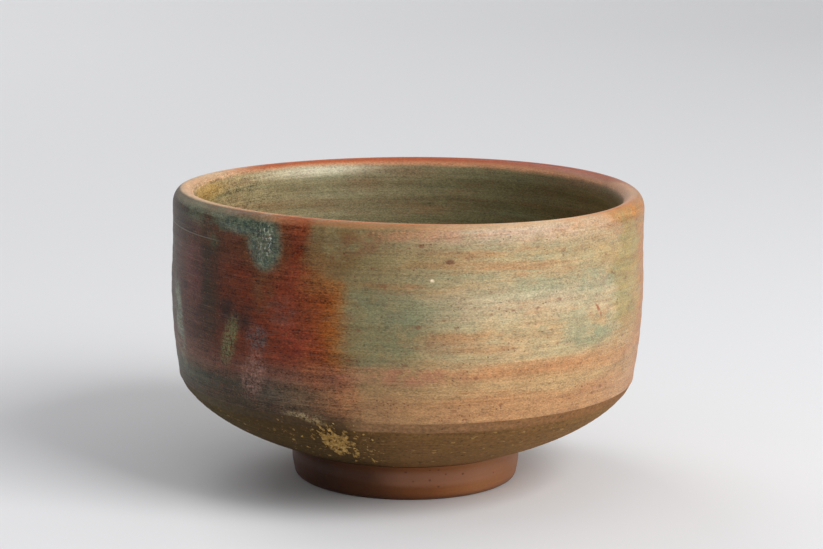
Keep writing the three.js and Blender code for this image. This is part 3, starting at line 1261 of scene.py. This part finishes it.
@dataclass(frozen=True)
class FootClay(Finish):
    """Fine red clay, smoothed by rubbing, flashed darker on one side and darkened further there by
    painted shade.
    """

    roughness: float = 0.46
    specular: float = 0.3

    def dress(self, nodes: Nodes, spot: Spot) -> None:
        """Gives the foot its flashing and painted shade, a painted sheen, a rest darkened by wear
        and painted contact shade, and its fine lines.

        Args:
            nodes: the tree that it works in.
            spot: the place on the bowl.
        """
        wander = spot.wandered(16.0, 1.2)
        # Flashing runs darker round the left; the darkest stops there are also painted shade, where
        # the bowl shades the foot.
        clay = nodes.ramp(
            wander.turn,
            (-180, 140, 88, 54), (-90, 96, 54, 32), (-45, 62, 34, 18), (-20, 84, 46, 20),
            (0, 118, 68, 32), (15, 138, 82, 42), (40, 160, 104, 62), (90, 152, 96, 58),
            (180, 140, 88, 54),
        )
        grain = spot.clouds(1.2, 1.6, 3, 0.65)
        lines = spot.clouds(0.09, 1.5, 3, 0.6)
        colour = nodes.tinted(clay, 0.72 + grain * 0.3 + lines * 0.26)
        # A pale band on the foot's front: a painted sheen.
        painted_sheen = nodes.band(wander.height, 4.6, 6.4, 1.8) * nodes.band(wander.turn, 2, 40, 24)
        colour = nodes.mix(painted_sheen * 0.45, colour, fired(172, 122, 96))
        # The rest darkens at the very bottom: partly wear, partly painted contact shade.
        wear_and_contact_shade = 1 - nodes.step(wander.height, 0.3, 2.2)
        colour = nodes.mix(wear_and_contact_shade * 0.5, colour, fired(66, 36, 20))
        specks = nodes.dots(nodes.stretched(spot.place, 0.5, 0.6), 0.22, 0.18)
        colour = nodes.mix(specks * 0.6, colour, fired(84, 48, 30))
        relief = grain * 0.05 + lines * 0.06 - specks * 0.03
        nodes.shade(colour, self.roughness + (grain - 0.5) * 0.25, self.specular, relief)


@dataclass(frozen=True)
class KilnAsh(Finish):
    """Ochre ash that half melted into dry crumbs."""

    roughness: float = 0.8
    specular: float = 0.2

    def dress(self, nodes: Nodes, spot: Spot) -> None:
        """Mixes ochre, pale and burnt crumbs.

        Args:
            nodes: the tree that it works in.
            spot: the place on the bowl.
        """
        crumbs = spot.clouds(0.7, 0.9, 4, 0.65)
        colour = nodes.ramp(
            crumbs,
            (0.34, 84, 62, 34), (0.46, 146, 114, 64), (0.56, 176, 140, 78), (0.68, 200, 166, 104),
        )
        roughness = self.roughness + (crumbs - 0.5) * 0.3
        nodes.shade(colour, roughness, self.specular, crumbs * 0.3)


# ---------------------------------------------------------------------------------- pieces


@dataclass
class GlazeCoat:
    """The glaze: one glass skin over the inside, the lip and the outside."""

    shape: BowlShape
    marks: ThrowingMarks
    steps: int = WHEEL_STEPS

    def build(self) -> bpy.types.Object:
        """Turns the skin, with a rounded bead where it stops above the bare clay.

        Returns:
            The glaze.
        """
        shape = self.shape
        fine = [*shape.outer_wall(0.5 * MM), *shape.lip(12), *shape.inner_wall(1 * MM)]
        coarse = [*shape.outer_wall(3 * MM), *shape.lip(5), *shape.inner_wall(4 * MM)]
        bonded = moved_out(coarse, lambda point: shape.gap)
        open_side = moved_out(fine, lambda point: shape.coat + self.marks.height_at(point))
        bonded[-1].x = 0
        open_side[-1].x = 0
        bead = quarter_turn(
            Vector((bonded[0].x, open_side[0].y)),
            Vector((open_side[0].x - bonded[0].x, shape.gap)),
            -1,
            5,
        )
        outline = [*reversed(bonded), *bead[:-1], *open_side]
        piece = turn_on_wheel("glaze", outline, self.steps)
        shake(piece)
        shade_smooth(piece, 60)
        return piece


@dataclass
class BowlBody:
    """The thrown clay body, bare at the haunch and under the foot."""

    shape: BowlShape
    steps: int = WHEEL_STEPS

    def build(self) -> bpy.types.Object:
        """Turns the body; only its bare clay is fine, because glaze covers the rest.

        Returns:
            The body.
        """
        shape = self.shape
        boss = shape.foot_radius - FOOT_WALL - shape.gap
        underside = [
            Vector((0, shape.recess)),
            *[Vector((boss * share, shape.recess)) for share in (0.1, 0.3, 0.6, 0.97)],
            Vector((boss, shape.recess + 0.03 * boss)),
            Vector((boss, shape.seat)),
            Vector((boss + 4 * MM, shape.seat)),
        ]
        wall = [point for point in shape.outer_wall(3 * MM) if point.y > 30 * MM]
        outline = [
            *underside,
            *shape.haunch(),
            *wall,
            *shape.lip(5),
            *shape.inner_wall(4 * MM),
        ]
        piece = turn_on_wheel("stoneware_body", outline, self.steps)
        shake(piece)
        shade_smooth(piece, 40)
        return piece


@dataclass
class FootRing:
    """The foot ring, flared where it meets the body and rounded where it rests."""

    shape: BowlShape
    wall: float = FOOT_WALL
    steps: int = WHEEL_STEPS

    def build(self) -> bpy.types.Object:
        """Turns the ring.

        Returns:
            The ring.
        """
        outer = self.shape.foot_radius
        inner = outer - self.wall
        top = self.shape.foot_height
        rest = Vector((outer - 1.9 * MM, 0))
        rounded = quarter_turn(
            Vector((rest.x, 1.7 * MM)), Vector((1.4 * MM, 1.7 * MM)), -1, 8
        )
        side = smooth_curve(
            [
                rounded[-1],
                Vector((outer, 4.5 * MM)),
                Vector((outer + 0.15 * MM, 7.5 * MM)),
                Vector((outer + 1.1 * MM, top)),
            ],
            0.4 * MM,
        )
        inside = smooth_curve(
            [
                Vector((inner, top)),
                Vector((inner, 2 * MM)),
                Vector((inner + 0.5 * MM, 0.6 * MM)),
                Vector((inner + 1.3 * MM, 0)),
            ],
            0.5 * MM,
        )
        outline = [*inside, rest, *rounded, *side[1:], inside[0].copy()]
        piece = turn_on_wheel("foot", outline, self.steps)
        shade_smooth(piece, 50)
        return piece


@dataclass(frozen=True)
class WallFace:
    """An outer face of the bowl, for laying thin things on it."""

    outline: tuple[Vector, ...]

    def at(self, turn: float, height: float, lift: float) -> Vector:
        """Finds a place on the face.

        Args:
            turn: degrees round the bowl from the front, growing to the right.
            height: metres above the floor, before the hand's unevenness.
            lift: metres off the face.

        Returns:
            The place.
        """
        spans = zip(self.outline, self.outline[1:])
        low, high = next(span for span in spans if span[1].y >= height)
        share = (height - low.y) / (high.y - low.y)
        along = (high - low).normalized()
        foot = low.lerp(high, share) + Vector((along.y, -along.x)) * lift
        angle = math.radians(turn)
        return HAND.moved(Vector((foot.x * math.sin(angle), -foot.x * math.cos(angle), foot.y)))


@dataclass(frozen=True)
class Film:
    """A fine sheet of squares that is laid on the wall and rises where something stuck to it."""

    name: str
    face: WallFace
    turns: tuple[float, float]
    heights: tuple[float, float]
    squares: int
    thickness: float
    deepest: float = 0.12 * MM

    def lay(self, rise: Callable[[float, float], float]) -> bpy.types.Object:
        """Lays the sheet, and cuts away what stays under the wall's face.

        Args:
            rise: gives how far the sheet is off the face, in metres, from turn and height in mm.

        Returns:
            The piece, closed by its thickness.
        """
        deselect_all()
        count = self.squares
        bpy.ops.mesh.primitive_grid_add(x_subdivisions=count, y_subdivisions=count, size=2)
        piece = named(self.name)
        with edit_mode():
            bpy.ops.mesh.select_mode(type="FACE")
            bpy.ops.mesh.select_all(action="DESELECT")
        buried = set()
        for vertex in piece.data.vertices:
            turn = self.middle(self.turns, vertex.co.x)
            height = self.middle(self.heights, vertex.co.y)
            lift = rise(turn, height)
            if lift < 0:
                buried.add(vertex.index)
            vertex.co = self.face.at(turn, height * MM, max(lift, -self.deepest))
        for face in piece.data.polygons:
            face.select = buried.issuperset(face.vertices)
        with edit_mode():
            bpy.ops.mesh.delete(type="FACE")
            bpy.ops.mesh.select_all(action="SELECT")
            bpy.ops.mesh.delete_loose()
        sheet = piece.modifiers.new("thickness", "SOLIDIFY")
        sheet.thickness = self.thickness
        sheet.offset = -1
        bpy.ops.object.modifier_apply(modifier=sheet.name)
        with edit_mode():
            bpy.ops.mesh.select_all(action="SELECT")
            bpy.ops.mesh.normals_make_consistent(inside=False)
        shade_smooth(piece, 60)
        return piece

    @staticmethod
    def middle(span: tuple[float, float], share: float) -> float:
        """The place between a span's ends that a share from -1 to 1 gives."""
        return (span[0] + span[1]) / 2 + share * (span[1] - span[0]) / 2


@dataclass
class AshGlazeRun:
    """The run of thicker ash glaze that hangs from the rim."""

    shape: BowlShape
    zones: tuple[Zone, ...]
    crown: float = 0.42 * MM

    def build(self) -> bpy.types.Object:
        """Lays the run on the glaze, highest where it is broadest.

        Returns:
            The run.
        """
        shape = self.shape
        clay = [*shape.outer_wall(0.5 * MM), *shape.lip(12)[:12]]
        face = WallFace(tuple(moved_out(clay, lambda point: shape.coat)))
        film = Film("hanging_ash_glaze", face, (-54, -25), (57.5, 73.8), 110, 0.3 * MM)
        return film.lay(self.rise)

    def rise(self, turn: float, height: float) -> float:
        """How thick the run is, and a little under the glaze beyond its edge.

        Args:
            turn: degrees round the bowl from the front, growing to the right.
            height: millimetres above the floor.

        Returns:
            Metres off the glaze.
        """
        share = max(zone.share(turn, height) for zone in self.zones)
        place = Vector((turn * 0.9, height * 0.9, 3.0))
        lumps = 1 + 0.3 * noise.noise(place * 0.6) + 0.12 * noise.noise(place * 2)
        return self.crown * share * lumps - 0.05 * MM


@dataclass
class AshCrust:
    """The crust of kiln ash: islands of dry crumbs on the bare haunch."""

    shape: BowlShape
    crown: float = 0.9 * MM
    slant: float = 38.0

    def build(self) -> bpy.types.Object:
        """Lays the crust on the clay.

        Returns:
            The crust.
        """
        face = WallFace(tuple(self.shape.haunch()[:-1]))
        film = Film("kiln_ash_crust", face, (-33, -7), (11.5, 26.4), 190, 0.25 * MM)
        return film.lay(self.rise)

    def rise(self, turn: float, height: float) -> float:
        """How far the crumbs stand out of the clay, below zero between them.

        Args:
            turn: degrees round the bowl from the front, growing to the right.
            height: millimetres above the floor.

        Returns:
            Metres off the clay.
        """
        heart = Zone(-18.0, 20.6, 4.0, 4.0, 0.0, 0.9).share(turn, height)
        skirt = Zone(-18.5, 17.6, 10, 5.5, 0.0, 0.9).share(turn, height)
        crumbs = Vector((turn * 1.0, height, 7.0))
        crumbs.rotate(Matrix.Rotation(math.radians(self.slant), 3, "Z"))
        flakes = noise.noise(Vector((crumbs.x * 0.45, crumbs.y * 1.25, 0)))
        flakes += 0.55 * noise.noise(Vector((crumbs.x * 1.4, crumbs.y * 3.1, 4)))
        flakes += 0.25 * noise.noise(Vector((crumbs.x * 3.5, crumbs.y * 5, 9)))
        return self.crown * (flakes + 0.84 * heart + 0.22 * skirt - 0.68)


# ---------------------------------------------------------------------------------- stage


@dataclass
class Studio:
    """A pale floor that sweeps up to a backdrop, soft lights and the camera."""

    floor_side: float = 6.0
    backdrop: float = 4.0
    sweep: float = 1.6
    floor_tint: tuple[float, float, float] = (0.82, 0.82, 0.83)
    lens: float = 105.0
    sensor: float = 36.0
    camera_place: tuple[float, float, float] = (0.95 * MM, -602.7 * MM, 164.0 * MM)
    camera_pitch: float = 10.55
    camera_roll: float = 0.77

    def floor(self) -> bpy.types.Object:
        """Lays the floor, pulls its far edge up into a backdrop and rounds the corner.

        Returns:
            The floor.
        """
        deselect_all()
        bpy.ops.mesh.primitive_plane_add(size=self.floor_side)
        floor = named("studio_floor")
        with edit_mode():
            bpy.ops.mesh.select_all(action="DESELECT")
            bpy.ops.mesh.select_mode(type="EDGE")
        self.select_far_edge(floor)
        with edit_mode():
            move = {"value": (0, 0, self.backdrop)}
            bpy.ops.mesh.extrude_region_move(TRANSFORM_OT_translate=move)
        self.select_far_edge(floor)
        with edit_mode():
            bpy.ops.mesh.bevel(offset=self.sweep, segments=24)
        shade_smooth(floor, 60)
        floor.data.materials.append(self.floor_material())
        return floor

    def select_far_edge(self, floor: bpy.types.Object) -> None:
        """Selects the edge that lies on the floor at its far end, and nothing else.

        Args:
            floor: the floor.
        """
        near = 0.1
        for edge in floor.data.edges:
            ends = [floor.data.vertices[index].co for index in edge.vertices]
            far = all(end.y > self.floor_side / 2 - near for end in ends)
            edge.select = far and all(abs(end.z) < near for end in ends)

    def floor_material(self) -> bpy.types.Material:
        """Plain matt pale grey.

        Returns:
            The floor's material.
        """
        material = bpy.data.materials.new("studio_floor")
        material.use_nodes = True
        shader = material.node_tree.nodes["Principled BSDF"]
        shader.inputs["Base Color"].default_value = (*self.floor_tint, 1)
        shader.inputs["Roughness"].default_value = 0.9
        return material

    def light(
        self,
        name: str,
        place: tuple[float, float, float],
        size: float,
        power: float,
        aim: Vector = BOWL_MIDDLE,
    ) -> None:
        """Hangs a square soft light.

        Args:
            name: the light's name.
            place: where it hangs, in metres.
            size: its side, in metres.
            power: in watts.
            aim: the point that it faces.
        """
        lamp = bpy.data.lights.new(name, "AREA")
        lamp.size = size
        lamp.energy = power
        holder = bpy.data.objects.new(name, lamp)
        holder.location = place
        facing = aim - Vector(place)
        holder.rotation_euler = facing.to_track_quat("-Z", "Y").to_euler()
        bpy.context.scene.collection.objects.link(holder)

    def sky(self, strength: float) -> None:
        """Fills the room with even light.

        Args:
            strength: how bright it is.
        """
        world = bpy.data.worlds.new("studio")
        world.use_nodes = True
        background = world.node_tree.nodes["Background"]
        background.inputs["Color"].default_value = (0.97, 0.98, 1.0, 1)
        background.inputs["Strength"].default_value = strength
        bpy.context.scene.world = world

    def camera(self) -> None:
        """Stands the camera in front of the bowl, a little above its rim."""
        data = bpy.data.cameras.new("camera")
        data.lens = self.lens
        data.sensor_width = self.sensor
        data.clip_start = 0.01
        data.clip_end = 50
        holder = bpy.data.objects.new("camera", data)
        level = Matrix.Rotation(math.radians(90 - self.camera_pitch), 4, "X")
        roll = Matrix.Rotation(math.radians(self.camera_roll), 4, "Z")
        holder.matrix_world = Matrix.Translation(self.camera_place) @ level @ roll
        bpy.context.scene.collection.objects.link(holder)
        bpy.context.scene.camera = holder

    def set_up(self) -> None:
        """Builds the whole studio."""
        self.camera()
        self.floor()
        self.sky(0.42)
        self.light("key_light", (0.80, -0.59, 0.78), 0.7, 13)
        self.light("backdrop_light", (-0.9, 1.3, 1.5), 1.2, 12, Vector((-0.5, 1.4, 0)))
        bpy.context.scene.view_settings.view_transform = "Standard"
        log.info("studio is set up")


# ----------------------------------------------------------------------------------- main


def main() -> None:
    """Builds the studio and the pieces in order."""
    logging.basicConfig(level=logging.INFO, format="%(name)s: %(message)s")
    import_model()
    Studio().set_up()
    shape = BowlShape.from_frame()
    marks = ThrowingMarks()
    glaze = WoodFiredGlaze()
    body = BowlBody(shape).build()
    settle(body, "bowl_body", BareClay().material("bare_clay"))
    foot = FootRing(shape).build()
    settle(foot, "foot_ring", FootClay().material("red_foot_clay"))
    coat = GlazeCoat(shape, marks).build()
    settle(coat, "glaze_coat", glaze.material("satin_glaze"))
    run = AshGlazeRun(shape, RUN_ZONES).build()
    settle(run, "ash_glaze_run", glaze.material("ash_glaze"))
    crust = AshCrust(shape).build()
    settle(crust, "ash_crust", KilnAsh().material("kiln_ash"))


if __name__ == "__main__":
    main()
